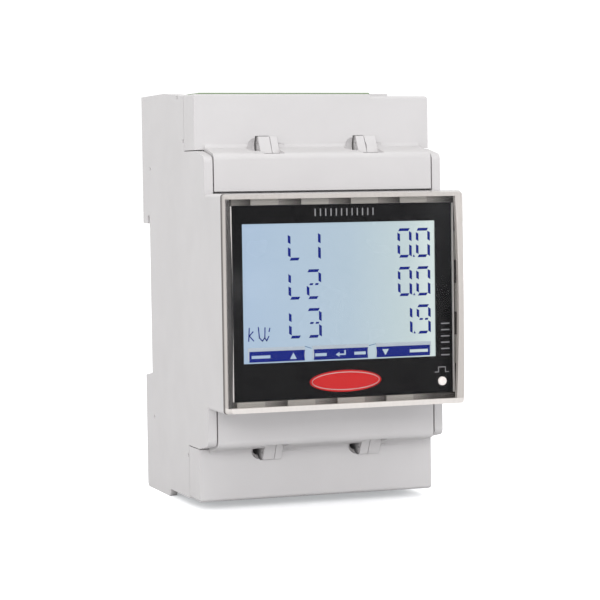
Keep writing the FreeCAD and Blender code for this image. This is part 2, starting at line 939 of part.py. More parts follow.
def ring_band(name, depths):
    """A closed rectangular band between the black panel and the wall of the window."""
    outside = box(
        f"{name}_outside",
        ("-ring_side", "ring_side"),
        depths,
        (at_height(LOWER, "ring_half"), at_height(UPPER, "ring_half")),
    )
    inside = box(
        f"{name}_inside",
        ("-(mask_side + 0.05)", "mask_side + 0.05"),
        (f"({depths[0]}) - 1", f"({depths[1]}) + 1"),
        (at_height(LOWER, "mask_half + 0.05"), at_height(UPPER, "mask_half + 0.05")),
    )
    return cut_from(name, outside, [inside])


def window_trim():
    """A light ring with raised teeth, and dark pads in the gaps between the teeth."""
    base = ring_band("ring_base", ("block_depth", "block_depth + 0.5"))
    teeth = tooth_boxes("ring_tooth", ("block_depth + 0.4", "ring_front"), True)
    keep(joined("window_ring", [base, *teeth]), "window_ring")
    pads = tooth_boxes("pad", ("block_depth + 0.5", "ring_front - 0.3"), False)
    corner = corner_pads()
    keep(grouped("window_gasket", [*pads, *corner]), "window_gasket")


def corner_pads():
    """Dark angle pieces in the four corners of the ring."""
    angles = []
    depths = ("block_depth + 0.5", "ring_front - 0.3")
    clear_across = "1.5 * tooth_pitch + tooth_length / 2 + 0.05"
    clear_up = "tooth_pitch + tooth_length / 2 + 0.05"
    for sign in (1, -1):
        for side in (UPPER, LOWER):
            flat = box(
                f"corner_flat_{sign + 1}_{side + 1}",
                (f"{sign} * ({clear_across}) + {tooth_shift(side)}", f"{sign} * ring_side"),
                depths,
                (at_height(side, "mask_half + 0.05"), at_height(side, "ring_half")),
            )
            upright = box(
                f"corner_upright_{sign + 1}_{side + 1}",
                (f"{sign} * (mask_side + 0.05)", f"{sign} * ring_side"),
                depths,
                (at_height(side, clear_up), at_height(side, "ring_half")),
            )
            angles.append(joined(f"corner_pad_{sign + 1}_{side + 1}", [flat, upright]))
    return angles


def display_mask():
    """Black panel with the display opening and the lamp hole."""
    plate = box(
        "mask_plate",
        ("-mask_side", "mask_side"),
        ("block_depth", "mask_front"),
        (at_height(LOWER, "mask_half"), at_height(UPPER, "mask_half")),
    )
    opening = box(
        "mask_opening",
        ("lcd_centre - lcd_width / 2", "lcd_centre + lcd_width / 2"),
        ("block_depth - 1", "mask_front + 1"),
        ("middle + lcd_raise - lcd_height / 2", "middle + lcd_raise + lcd_height / 2"),
    )
    lamp = rod(
        "mask_lamp_hole",
        ("lamp_across", "block_depth - 1", "middle + lamp_raise"),
        "lamp_radius + 0.05",
        "3",
        "F",
    )
    keep(cut_from("display_mask", plate, [opening, lamp]), "display_mask")


def badge_plate():
    """A blank oval plate on the panel below the display."""
    plate = doc.addObject("Part::Extrusion", "badge_plate")
    oval = doc.addObject("Part::Ellipse", "badge_oval")
    bind(oval, "MajorRadius", "badge_long")
    bind(oval, "MinorRadius", "badge_short")
    oval.Placement.Rotation = FreeCAD.Rotation(FreeCAD.Vector(1, 0, 0), 90)
    bind(oval, "Placement.Base.x", "badge_across")
    bind(oval, "Placement.Base.y", at_depth("mask_front"))
    bind(oval, "Placement.Base.z", "middle + badge_raise")
    plate.Base = oval
    plate.Dir = FreeCAD.Vector(0, -1, 0)
    plate.LengthFwd = 0.3
    plate.Solid = True
    keep(plate, "badge_plate")


def lcd_stack():
    """Glass, light guide, holder, backlight lamps and the touch electrodes in front."""
    left = "lcd_centre - lcd_width / 2 - lcd_margin"
    right = "lcd_centre + lcd_width / 2 + lcd_margin"
    low = "middle + lcd_raise - lcd_height / 2 - lcd_margin"
    high = "middle + lcd_raise + lcd_height / 2 + lcd_margin"
    glass_back = "lcd_front - lcd_thick"
    guide_back = "lcd_front - lcd_thick - guide_thick"
    keep(box("lcd_glass", (left, right), (glass_back, "lcd_front"), (low, high)), "lcd_glass")
    keep(box("lcd_light_guide", (left, right), (guide_back, glass_back), (low, high)), "lcd_light_guide")
    frame = box(
        "holder_frame",
        (f"{left} - 0.9", "23.2"),
        ("display_board_depth + board_thick", "block_depth - wall - 0.1"),
        (f"{low} - 0.9", f"{high} + 0.9"),
    )
    room = box(
        "holder_room",
        (f"{left} - 0.05", f"{right} + 0.05"),
        (f"{guide_back} - 0.05", "block_depth"),
        (f"{low} - 0.05", f"{high} + 0.05"),
    )
    lamp_room = [
        box(
            f"holder_lamp_room_{index}",
            (f"({index} - 1) * 14 - 1.7", f"({index} - 1) * 14 + 1.7"),
            ("display_board_depth + board_thick - 0.5", f"{guide_back} + 0.1"),
            ("middle + lcd_raise - 1.1", "middle + lcd_raise + 1.1"),
        )
        for index in range(3)
    ]
    keep(cut_from("lcd_holder", frame, [room, *lamp_room]), "lcd_holder")
    lamps = [
        box(
            f"backlight_lamp_{index}",
            (f"({index} - 1) * 14 - 1.5", f"({index} - 1) * 14 + 1.5"),
            ("display_board_depth + board_thick", "display_board_depth + board_thick + 0.8"),
            ("middle + lcd_raise - 0.9", "middle + lcd_raise + 0.9"),
        )
        for index in range(3)
    ]
    keep(grouped("backlight_leds", lamps), "backlight_leds")
    keys = [
        box(
            f"touch_electrode_{index}",
            (
                f"lcd_centre + ({index} - 1) * key_pitch - key_width / 2",
                f"lcd_centre + ({index} - 1) * key_pitch + key_width / 2",
            ),
            ("lcd_front", "lcd_front + 0.1"),
            (
                "middle + lcd_raise + key_raise - key_height / 2",
                "middle + lcd_raise + key_raise + key_height / 2",
            ),
        )
        for index in range(3)
    ]
    keep(grouped("touch_electrodes", keys), "touch_electrodes")


def pulse_lamp():
    """A lamp on the display board and the light pipe that brings it to the panel."""
    lamp = rod(
        "pulse_led",
        ("lamp_across", "display_board_depth + board_thick", "middle + lamp_raise"),
        "0.9",
        "1.2",
        "F",
    )
    keep(lamp, "pulse_led")
    pipe = rod(
        "pulse_light_pipe",
        ("lamp_across", "lamp_pipe_back", "middle + lamp_raise"),
        "lamp_radius",
        "mask_front + 0.35 - lamp_pipe_back",
        "F",
    )
    keep(pipe, "pulse_light_pipe")


# ---------------------------------------------------------------- boards and what is on them


def board(name, across, depth, heights, holes=()):
    plate = box(f"{name}_plate", (f"-{across}", across), (depth, f"{depth} + board_thick"), heights)
    if not holes:
        return keep(plate, name)
    return keep(cut_from(name, plate, list(holes)), name)


def boards():
    full = (at_height(LOWER, "floor_half - wall - 0.4"), at_height(UPPER, "floor_half - wall - 0.4"))
    screw_holes = [
        rod(
            f"board_hole_{sign_x}{sign_z}",
            (f"{sign_x} post_across", "measuring_board_depth - 1", f"middle {sign_z} post_half"),
            "board_screw_radius + 0.25",
            "4",
            "F",
        )
        for sign_x in "+-"
        for sign_z in "+-"
    ]
    board("measuring_board", "25.1", "measuring_board_depth", full, screw_holes)
    board("supply_board", "24.6", "supply_board_depth", (at_height(LOWER, "26"), at_height(UPPER, "26")))
    short = (at_height(LOWER, "21.2"), at_height(UPPER, "21.2"))
    board("display_board", "24.9", "display_board_depth", short)
    screws = []
    for sign_x in "+-":
        for sign_z in "+-":
            place = (f"{sign_x} post_across", "measuring_board_depth - 5", f"middle {sign_z} post_half")
            shank_name = f"board_screw_shank_{sign_x}{sign_z}"
            shank = rod(shank_name, place, "board_screw_radius", "5 + board_thick + 0.2", "F")
            head_place = (place[0], "measuring_board_depth + board_thick", place[2])
            head = rod(f"board_screw_head_{sign_x}{sign_z}", head_place, "board_screw_head", "1.4", "F")
            slot = box(
                f"board_screw_slot_{sign_x}{sign_z}",
                (f"{sign_x} post_across - 1.5", f"{sign_x} post_across + 1.5"),
                ("measuring_board_depth + board_thick + 0.8", "measuring_board_depth + board_thick + 2"),
                (f"middle {sign_z} post_half - 0.25", f"middle {sign_z} post_half + 0.25"),
            )
            whole = joined(f"board_screw_whole_{sign_x}{sign_z}", [shank, head])
            screws.append(cut_from(f"board_screw_{sign_x}{sign_z}", whole, [slot]))
    keep(grouped("board_screws", screws), "board_screws")


def header(node, start, end, height, pins):
    """A row of square pins in a moulded strip, between two boards."""
    middle_depth = f"(({start}) + ({end})) / 2"
    strip = box(
        f"{node}_strip",
        (f"-{pins} * header_pitch / 2", f"{pins} * header_pitch / 2"),
        (f"{middle_depth} - strip_half", f"{middle_depth} + strip_half"),
        (f"{height} - strip_half", f"{height} + strip_half"),
    )
    posts = []
    for index in range(pins):
        centre = f"({index} - {(pins - 1) / 2}) * header_pitch"
        posts.append(
            box(
                f"{node}_pin_{index}",
                (f"{centre} - pin_half", f"{centre} + pin_half"),
                (start, end),
                (f"{height} - pin_half", f"{height} + pin_half"),
            )
        )
    keep(joined(node, [strip, *posts]), node)


def chip(node, across, height, depth, size, legs):
    """A moulded circuit with gull-wing legs along its two upright sides."""
    body = box(
        f"{node}_body",
        (f"{across} - {size} / 2", f"{across} + {size} / 2"),
        (f"{depth} + 0.15", f"{depth} + 1.6"),
        (f"{height} - {size} / 2", f"{height} + {size} / 2"),
    )
    feet = [
        box(
            f"{node}_leg_{index}",
            (f"{across} - {size} / 2 - 1", f"{across} + {size} / 2 + 1"),
            (depth, f"{depth} + 0.3"),
            (
                f"{height} + ({index} - {(legs - 1) / 2}) * 0.9 * {size} / {legs} - 0.2",
                f"{height} + ({index} - {(legs - 1) / 2}) * 0.9 * {size} / {legs} + 0.2",
            ),
        )
        for index in range(legs)
    ]
    keep(joined(node, [body, *feet]), node)


def measuring_parts():
    """Current transformers with their primary bars, and the metering circuit."""
    names = ("left", "middle", "right")
    bars = []
    for index, word in enumerate(names):
        across = f"({index} - 1) * coil_pitch"
        base = (across, "coil_depth", "middle - 16.5")
        ring = rod(f"coil_ring_{word}", base, "coil_radius", "coil_height", "Z")
        bore_base = (across, "coil_depth", "middle - 17.5")
        bore = rod(f"coil_bore_{word}", bore_base, "coil_bore", "coil_height + 2", "Z")
        keep(cut_from(f"current_transformer_{word}", ring, [bore]), f"current_transformer_{word}")
        upright = box(
            f"primary_upright_{word}",
            (f"{across} - 1", f"{across} + 1"),
            ("coil_depth - 1", "coil_depth + 1"),
            ("middle - 20", "middle - 5"),
        )
        low_leg = box(
            f"primary_low_leg_{word}",
            (f"{across} - 1", f"{across} + 1"),
            ("coil_depth", "measuring_board_depth"),
            ("middle - 20", "middle - 18"),
        )
        high_leg = box(
            f"primary_high_leg_{word}",
            (f"{across} - 1", f"{across} + 1"),
            ("coil_depth", "measuring_board_depth"),
            ("middle - 7", "middle - 5"),
        )
        bars.append(joined(f"primary_bar_{word}", [upright, low_leg, high_leg]))
    keep(grouped("primary_conductors", bars), "primary_conductors")
    front = "measuring_board_depth + board_thick"
    chip("measuring_chip", "0", "middle - 10", front, "7", 6)
    chip("bus_transceiver", "-14", "middle + 8", front, "4.4", 4)


def supply_parts():
    """Transformer, capacitors and surge arresters of the mains supply."""
    front = "supply_board_depth + board_thick"
    core = box(
        "transformer_core",
        ("-18", "-6"),
        (front, f"{front} + 9"),
        ("middle - 4", "middle + 9"),
    )
    coil = box(
        "transformer_coil",
        ("-17", "-7"),
        (front, f"{front} + 10.4"),
        ("middle - 1.5", "middle + 6.5"),
    )
    keep(joined("supply_transformer", [core, coil]), "supply_transformer")
    cans = [
        rod(f"capacitor_can_{index}", (f"3 + {index} * 9.4", front, "middle + 4"), "4", "11", "F")
        for index in range(2)
    ]
    keep(grouped("supply_capacitors", cans), "supply_capacitors")
    film = box("filter_capacitor", ("-18", "-4"), (front, f"{front} + 9.5"), ("middle - 16", "middle - 10"))
    keep(film, "filter_capacitor")
    discs = [
        box(
            f"varistor_{index}",
            (f"2 + {index} * 6.4 - 1.6", f"2 + {index} * 6.4 + 1.6"),
            (front, f"{front} + 8"),
            ("middle - 17", "middle - 10"),
        )
        for index in range(3)
    ]
    keep(grouped("varistors", discs), "varistors")
    chip("processor_chip", "6", "middle + 17", front, "7", 8)
    crystal = box(
        "clock_crystal",
        ("-6", "-2"),
        (front, f"{front} + 3.4"),
        ("middle + 14.2", "middle + 17.2"),
    )
    keep(crystal, "clock_crystal")


# ---------------------------------------------------------------- terminals


def terminal_set(side, block_node, prefix):
    """A terminal block with its contact bars, screws and wire clamps."""
    pitch = "upper_pitch" if side == UPPER else "lower_pitch"
    left = "upper_block_left" if side == UPPER else "lower_block_left"
    count = UPPER_POLES if side == UPPER else LOWER_POLES
    block = box(
        f"{block_node}_body",
        (left, f"{left} + {count} * {pitch}"),
        ("block_back", "block_front"),
        (at_height(side, "terminal_floor"), at_height(side, "terminal_top")),
    )
    tools = []
    screws = []
    clamps = []
    bars = []
    for index, centre in enumerate(pole_centres(side)):
        name = f"{prefix}_{index}"
        tools.append(
            box(
                f"{name}_well",
                (f"{centre} - well_side", f"{centre} + well_side"),
                ("block_front - 12.5", "block_front - 2.2"),
                (at_height(side, "terminal_floor + 1.2"), at_height(side, "terminal_top + 1")),
            )
        )
        screw_height = at_height(side, "terminal_floor + screw_raise")
        tools.append(
            rod(
                f"{name}_screw_bore",
                (centre, "block_front - 3", screw_height),
                "screw_head_radius + screw_fit",
                "4",
                "F",
            )
        )
        tools.append(
            box(
                f"{name}_bar_slot",
                (f"{centre} - bar_half - 0.1", f"{centre} + bar_half + 0.1"),
                ("measuring_board_depth - bar_thick - 0.05", "measuring_board_depth + 0.05"),
                (at_height(side, "terminal_floor - 1"), at_height(side, "terminal_floor + 1.3")),
            )
        )
        bars.append(
            box(
                f"{name}_bar",
                (f"{centre} - bar_half", f"{centre} + bar_half"),
                ("measuring_board_depth - bar_thick", "measuring_board_depth"),
                (at_height(side, "floor_half - wall - 4"), at_height(side, "terminal_floor + 10")),
            )
        )
        clamps.append(wire_clamp(name, centre, side))
        screws.append(terminal_screw(name, centre, screw_height))
    keep(cut_from(block_node, block, tools), block_node)
    keep(grouped(f"{prefix}_contact_bars", bars), f"{prefix}_contact_bars")
    keep(grouped(f"{prefix}_terminal_screws", screws), f"{prefix}_terminal_screws")
    keep(grouped(f"{prefix}_wire_clamps", clamps), f"{prefix}_wire_clamps")


def wire_clamp(name, centre, side):
    """A square ring round the contact bar that the screw draws forwards onto the wire."""
    cage = box(
        f"{name}_cage",
        (f"{centre} - cage_half", f"{centre} + cage_half"),
        ("block_front - 11", "block_front - 5"),
        (at_height(side, "terminal_floor + 3.4"), at_height(side, "terminal_floor + 9")),
    )
    window = box(
        f"{name}_cage_window",
        (f"{centre} - (cage_half - cage_sheet)", f"{centre} + cage_half - cage_sheet"),
        ("block_front - 10.2", "block_front - 5.8"),
        (at_height(side, "terminal_floor + 3"), at_height(side, "terminal_floor + 9.5")),
    )
    thread = rod(
        f"{name}_cage_thread",
        (centre, "block_front - 6", at_height(side, "terminal_floor + screw_raise")),
        "screw_radius + 0.05",
        "2",
        "F",
    )
    return cut_from(f"{name}_clamp", cage, [window, thread])


def terminal_screw(name, centre, height):
    """A captive screw with a slotted head, reached from the front."""
    shank = rod(f"{name}_screw_shank", (centre, "block_front - 5.9", height), "screw_radius", "4.4", "F")
    head = rod(f"{name}_screw_head", (centre, "block_front - 1.9", height), "screw_head_radius", "1.5", "F")
    slot = box(
        f"{name}_screw_slot",
        (f"{centre} - 2", f"{centre} + 2"),
        ("block_front - 1.1", "block_front"),
        (f"{height} - 0.25", f"{height} + 0.25"),
    )
    return cut_from(f"{name}_screw", joined(f"{name}_screw_whole", [shank, head]), [slot])


# ---------------------------------------------------------------- rail clip


def din_clip():
    """A sliding clip behind the rear cover: nose, flanges, spring window and pull tab."""
    body = new_body("clip_moulding")
    corners = [
        ("clip_back", "clip_low"),
        ("clip_front", "clip_low"),
        ("clip_front", "clip_nose"),
        ("clip_front - 0.8", "clip_nose"),
        ("clip_back + 0.6", "recess_low - 0.2"),
        ("clip_back", "recess_low - 0.2"),
    ]
    pad(body, "clip_block", profile(body, "clip_outline", corners), "2 * clip_half")
    flanges = box(
        "clip_flanges",
        ("-(clip_half + clip_flange)", "clip_half + clip_flange"),
        ("flange_back", "clip_front"),
        ("flange_low", "recess_low - 0.2"),
    )
    window = box(
        "clip_spring_window",
        ("-spring_room", "spring_room"),
        ("clip_back - 1", "clip_front + 1"),
        ("spring_low - 2 - clip_fit", "spring_high"),
    )
    release = box(
        "clip_release_slot",
        ("-3", "3"),
        ("clip_back - 1", "clip_front + 1"),
        ("2.2", "4"),
    )
    keep(cut_from("din_clip", joined("clip_whole", [body, flanges]), [window, release]), "din_clip")


def clip_spring():
    """A coil spring between the peg of the rear cover and the top of the clip's window."""
    turns = 7
    helix = doc.addObject("Part::Helix", "spring_helix")
    bind(helix, "Radius", "spring_radius")
    bind(helix, "Pitch", f"(spring_high - spring_low - 2 * (spring_wire + spring_play)) / {turns}")
    bind(helix, "Height", "spring_high - spring_low - 2 * (spring_wire + spring_play)")
    section = doc.addObject("Part::Circle", "spring_section")
    bind(section, "Radius", "spring_wire")
    section.Placement.Rotation = FreeCAD.Rotation(FreeCAD.Vector(1, 0, 0), 90)
    bind(section, "Placement.Base.x", "spring_radius")
    coil = doc.addObject("Part::Sweep", "clip_spring")
    coil.Sections = [section]
    coil.Spine = helix
    coil.Solid = True
    coil.Frenet = True
    for axis, place in (
        ("y", at_depth("(clip_back + clip_front) / 2 + 0.1")),
        ("z", "spring_low + spring_wire + spring_play"),
    ):
        bind(coil, f"Placement.Base.{axis}", place)
    keep(coil, "clip_spring")


# ---------------------------------------------------------------- assembly


def build():
    main_housing()
    rear_cover()
    terminal_cover(UPPER, "upper_terminal_cover")
    terminal_cover(LOWER, "lower_terminal_cover")
    display_window()
    window_trim()
    display_mask()
    badge_plate()
    lcd_stack()
    pulse_lamp()
    boards()
    header("supply_header", "measuring_board_depth + board_thick", "supply_board_depth", "middle + 22", 8)
    header("display_header", "supply_board_depth + board_thick", "display_board_depth", "middle - 19.4", 8)
    measuring_parts()
    supply_parts()
    terminal_set(UPPER, "upper_terminal_block", "upper")
    terminal_set(LOWER, "lower_terminal_block", "lower")
    din_clip()
    clip_spring()
    doc.recompute()


def check_model():
    for item in doc.Objects:
        if "Invalid" in item.State or "Error" in item.State:
            raise RuntimeError(f"{item.Name} failed: {item.State}")
    for item in pieces:
        if item.Shape.isNull() or not item.Shape.isValid() or not item.Shape.Solids:
            raise RuntimeError(f"{item.Label} has no valid solid")


def write_pieces():
    os.makedirs("parts", exist_ok=True)
    for item in pieces:
        item.Shape.exportStep(f"parts/{item.Label}.step")
        print(item.Label, len(item.Shape.Solids), round(item.Shape.Volume, 1))


build()
check_model()
write_pieces()
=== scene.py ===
import json
import math

import bmesh
import bpy
from mathutils import Matrix, Vector


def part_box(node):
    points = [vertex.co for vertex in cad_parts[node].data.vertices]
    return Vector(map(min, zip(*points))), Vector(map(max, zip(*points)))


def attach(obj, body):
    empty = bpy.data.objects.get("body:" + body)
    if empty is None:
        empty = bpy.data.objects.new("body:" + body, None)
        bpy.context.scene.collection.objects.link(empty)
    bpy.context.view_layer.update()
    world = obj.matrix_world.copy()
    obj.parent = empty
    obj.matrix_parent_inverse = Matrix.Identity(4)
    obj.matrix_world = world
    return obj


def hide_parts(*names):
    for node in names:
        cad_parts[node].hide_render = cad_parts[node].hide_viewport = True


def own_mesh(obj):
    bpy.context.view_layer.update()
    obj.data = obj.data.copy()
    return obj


MM = 0.001

# Texture of moulded plastic and of drawn metal. Sizes and depths are in metres.
CLOUD_SIZE = 0.014
GLOSS_SIZE = 0.006
GLOSS_SWING = 0.06
WAVE_SIZE = 0.02
WAVE_DEPTH = 0.00004
METAL_GLOSS_SIZE = 0.002
METAL_SHADE = 0.82
BRUSH_DEPTH = 0.000006

# The clear window: its pane, its milky border with a painted highlight along its lower edge, and a
# painted shadow in the gap at its rear edge.
PANE_COLOR = (0.96, 0.955, 0.95, 1)
PANE_ROUGHNESS = 0.09
PANE_IOR = 1.15
PANE_DEPTH = 0.00003
STREAK_SIZE = 0.0006
STREAK_SHADE = 0.92
LOW_STREAK_SHADE = 0.95
EDGE_COLOR = (0.60, 0.56, 0.53)
# Painted highlight: the paler colour of the border's lower edge, standing in for light from below.
EDGE_PAINTED_LIGHT_COLOR = (0.82, 0.775, 0.74)
EDGE_SHARE = 0.88
EDGE_FADE = 0.00012
EDGE_LEFT = 0.00075
EDGE_RIGHT = 0.00135
EDGE_LOWER = 0.00025
# Painted shadow: a dark band on the window's side walls at its rear edge, where the gap against the
# housing is in shade.
GAP_SHADE_COLOR = (0.16, 0.145, 0.14)
GAP_SHADE_WIDE = 0.0008

# The dark pads between the teeth of the window ring, with painted shading from light to dark along
# each pad.
TOOTH_PITCH = 0.0111
UPPER_PAD_START = 0.0035
LOWER_PAD_START = 0.0071
ROW_BLEND = 0.001
UPRIGHT_WIDE = 0.0008
PAD_LIGHT = (0.3, 0.285, 0.265)
PAD_DARK = (0.06, 0.054, 0.05)
PAD_FADE = (0.02, 0.42)

# Places across the lit display, as shares of its width, and its colour there.
DISPLAY_STOPS = (
    (0.0, (0.36, 0.49, 0.66)),
    (0.55, (0.41, 0.53, 0.63)),
    (0.85, (0.50, 0.61, 0.63)),
    (1.0, (0.66, 0.76, 0.74)),
)

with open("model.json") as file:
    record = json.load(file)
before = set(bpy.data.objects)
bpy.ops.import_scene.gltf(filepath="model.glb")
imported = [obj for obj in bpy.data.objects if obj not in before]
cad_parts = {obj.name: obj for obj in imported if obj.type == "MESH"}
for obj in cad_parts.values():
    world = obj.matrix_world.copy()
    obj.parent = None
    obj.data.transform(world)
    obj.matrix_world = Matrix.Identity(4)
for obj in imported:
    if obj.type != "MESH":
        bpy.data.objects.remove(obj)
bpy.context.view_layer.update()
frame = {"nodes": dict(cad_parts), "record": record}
nodes = frame["nodes"]
scene = bpy.context.scene


# ---------------------------------------------------------------- materials


def new_material(name, color, roughness, **sockets):
    """A Principled material and the tools to add detail to it."""
    made = bpy.data.materials.new(name)
    made.use_nodes = True
    shader = made.node_tree.nodes["Principled BSDF"]
    shader.inputs["Base Color"].default_value = (*color, 1)
    shader.inputs["Roughness"].default_value = roughness
    for socket, value in sockets.items():
        shader.inputs[socket.replace("_", " ")].default_value = value
    return made


def add(material, kind, **settings):
    """A new shader node; each setting is an input socket or a property of the node."""
    node = material.node_tree.nodes.new(kind)
    for key, value in settings.items():
        if key in node.inputs:
            node.inputs[key].default_value = value
        else:
            setattr(node, key, value)
    return node


def wire(material, source, output, target, socket):
    """Joins an output to an input socket, by name or number."""
    material.node_tree.links.new(source.outputs[output], target.inputs[socket])


def shade(color, share):
    """The colour with every channel multiplied by this share."""
    return tuple(channel * share for channel in color)


def object_axes(material):
    """The place on the object as separate X, Y and Z outputs, in metres."""
    place = add(material, "ShaderNodeTexCoord")
    apart = add(material, "ShaderNodeSeparateXYZ")
    wire(material, place, "Object", apart, "Vector")
    return apart


def map_range(material, source, output, start, end, low=0.0, high=1.0, kind="LINEAR"):
    """Maps start to low and end to high, and holds the values beyond both ends."""
    node = add(material, "ShaderNodeMapRange", interpolation_type=kind)
    limits = (("From Min", start), ("From Max", end), ("To Min", low), ("To Max", high))
    for socket, value in limits:
        node.inputs[socket].default_value = value
    wire(material, source, output, node, "Value")
    return node


def noise(material, size, detail=2.0, roughness=0.5, stretch=(1, 1, 1)):
    """Noise with lumps about this many metres across, fixed to the object."""
    place = add(material, "ShaderNodeTexCoord")
    scaled = add(material, "ShaderNodeMapping")
    scaled.inputs["Scale"].default_value = tuple(axis / size for axis in stretch)
    texture = add(material, "ShaderNodeTexNoise", Scale=1.0, Detail=detail, Roughness=roughness)
    wire(material, place, "Object", scaled, "Vector")
    wire(material, scaled, "Vector", texture, "Vector")
    return texture


def ramp(material, source, output, low, high, places=(0.3, 0.7)):
    """A two-colour ramp driven by a texture; low and high are grey values or colours."""
    node = add(material, "ShaderNodeValToRGB")
    for index, value in enumerate((low, high)):
        color = value if isinstance(value, tuple) else (value, value, value)
        node.color_ramp.elements[index].position = places[index]
        node.color_ramp.elements[index].color = (*color, 1)
    wire(material, source, output, node, "Fac")
    return node


def add_bump(material, layers):
    """Stacks bump layers, each (texture node, output, height in metres, strength)."""
    shader = material.node_tree.nodes["Principled BSDF"]
    previous = None
    for texture, output, height, strength in layers:
        bump = add(material, "ShaderNodeBump", Strength=strength, Distance=height)
        wire(material, texture, output, bump, "Height")
        if previous is not None:
            wire(material, previous, "Normal", bump, "Normal")
        previous = bump
    wire(material, previous, "Normal", shader, "Normal")


def moulded(name, color, roughness=0.5, grain=0.00012, depth=0.00001, spread=0.02, **sockets):
    """Moulded plastic: spark-eroded grain, slight cloudiness and uneven gloss."""
    material = new_material(name, color, roughness, **sockets)
    shader = material.node_tree.nodes["Principled BSDF"]
    cloud = noise(material, CLOUD_SIZE, detail=3.0)
    dark = shade(color, 1 - spread)
    light = tuple(min(1.0, channel * (1 + spread)) for channel in color)
    tint = ramp(material, cloud, "Fac", dark, light)
    wire(material, tint, "Color", shader, "Base Color")
    lumps = noise(material, GLOSS_SIZE, detail=4.0)
    gloss = ramp(material, lumps, "Fac", roughness - GLOSS_SWING, roughness + GLOSS_SWING)
    wire(material, gloss, "Color", shader, "Roughness")
    fine = noise(material, grain, detail=2.0, roughness=0.6)
    wave = noise(material, WAVE_SIZE, detail=1.0)
    add_bump(material, [(fine, "Fac", depth, 0.5), (wave, "Fac", WAVE_DEPTH, 0.15)])
    return material


def metal(name, color, roughness, brush=0.0004):
    """Drawn or plated metal with fine lines along it."""
    material = new_material(name, color, roughness, Metallic=1.0)
    shader = material.node_tree.nodes["Principled BSDF"]
    lines = noise(material, brush, detail=3.0, stretch=(1, 1, 0.1))
    dark = shade(color, METAL_SHADE)
    tint = ramp(material, lines, "Fac", dark, color)
    wire(material, tint, "Color", shader, "Base Color")
    lumps = noise(material, METAL_GLOSS_SIZE, detail=3.0)
    gloss = ramp(material, lumps, "Fac", roughness - 0.07, roughness + 0.09)
    wire(material, gloss, "Color", shader, "Roughness")
    add_bump(material, [(lines, "Fac", BRUSH_DEPTH, 0.35)])
    return material


def clear_plastic():
    """Clear plastic: a see-through pane that mirrors by viewing angle, and a milky border where the
    wall behind it gathers light. Along its lower edge the border is painted lighter, a painted
    highlight, and at its rear edge darker, a painted shadow."""
    material = new_material("clear_window", EDGE_COLOR, 0.2, Specular_IOR_Level=0.35)
    tree = material.node_tree
    edge = tree.nodes["Principled BSDF"]
    through = add(material, "ShaderNodeBsdfTransparent", Color=PANE_COLOR)
    mirror = add(material, "ShaderNodeBsdfGlossy", Color=(1, 1, 1, 1), Roughness=PANE_ROUGHNESS)
    fresnel = add(material, "ShaderNodeFresnel", IOR=PANE_IOR)
    pane = add(material, "ShaderNodeMixShader")
    wave = noise(material, WAVE_SIZE, detail=1.0)
    drawn = noise(material, STREAK_SIZE, detail=3.0, stretch=(1, 1, 0.03))
    bump = add(material, "ShaderNodeBump", Strength=0.1, Distance=PANE_DEPTH)
    wire(material, wave, "Fac", bump, "Height")
    wire(material, bump, "Normal", mirror, "Normal")
    wire(material, bump, "Normal", edge, "Normal")
    wire(material, fresnel, "Fac", pane, "Fac")
    tree.links.new(through.outputs["BSDF"], pane.inputs[1])
    tree.links.new(mirror.outputs["BSDF"], pane.inputs[2])
    milky = ramp(material, drawn, "Fac", shade(EDGE_COLOR, STREAK_SHADE), EDGE_COLOR)
    apart = object_axes(material)
    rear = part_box("display_window")[1].y
    # Painted shadow in the gap where the window meets the housing: the border darkens near its rear
    # edge.
    gap_shade = map_range(material, apart, "Y", rear - GAP_SHADE_WIDE, rear - GAP_SHADE_WIDE / 2)
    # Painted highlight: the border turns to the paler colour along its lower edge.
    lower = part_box("window_ring")[0].z + EDGE_LOWER
    painted_light_band = map_range(material, apart, "Z", lower, lower - EDGE_FADE)
    low_streak = shade(EDGE_PAINTED_LIGHT_COLOR, LOW_STREAK_SHADE)
    bright = ramp(material, drawn, "Fac", low_streak, EDGE_PAINTED_LIGHT_COLOR)
    border = add(material, "ShaderNodeMixRGB")
    wire(material, painted_light_band, "Result", border, "Fac")
    wire(material, milky, "Color", border, "Color1")
    wire(material, bright, "Color", border, "Color2")
    shaded = add(material, "ShaderNodeMixRGB")
    shaded.inputs["Color2"].default_value = (*GAP_SHADE_COLOR, 1)
    wire(material, gap_shade, "Result", shaded, "Fac")
    wire(material, border, "Color", shaded, "Color1")
    wire(material, shaded, "Color", edge, "Base Color")
    whole = add(material, "ShaderNodeMixShader")
    wire(material, *border_mask(material), whole, "Fac")
    tree.links.new(pane.outputs["Shader"], whole.inputs[1])
    tree.links.new(edge.outputs["BSDF"], whole.inputs[2])
    tree.links.new(whole.outputs["Shader"], tree.nodes["Material Output"].inputs["Surface"])
    return material


def border_mask(material):
    """EDGE_SHARE over the wall of the window and zero inside it, by place on the object."""
    low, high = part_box("window_ring")
    apart = object_axes(material)
    largest = None
    for axis, limit, outwards in (
        ("X", low.x - EDGE_LEFT, -1),
        ("X", high.x - EDGE_RIGHT, 1),
        ("Z", low.z + EDGE_LOWER, -1),
        ("Z", high.z, 1),
    ):
        end = limit + outwards * EDGE_FADE
        side = map_range(material, apart, axis, limit, end, high=EDGE_SHARE)
        if largest is None:
            largest = (side, "Result")
        else:
            larger = add(material, "ShaderNodeMath", operation="MAXIMUM")
            wire(material, *largest, larger, 0)
            wire(material, side, "Result", larger, 1)
            largest = (larger, "Value")
    return largest


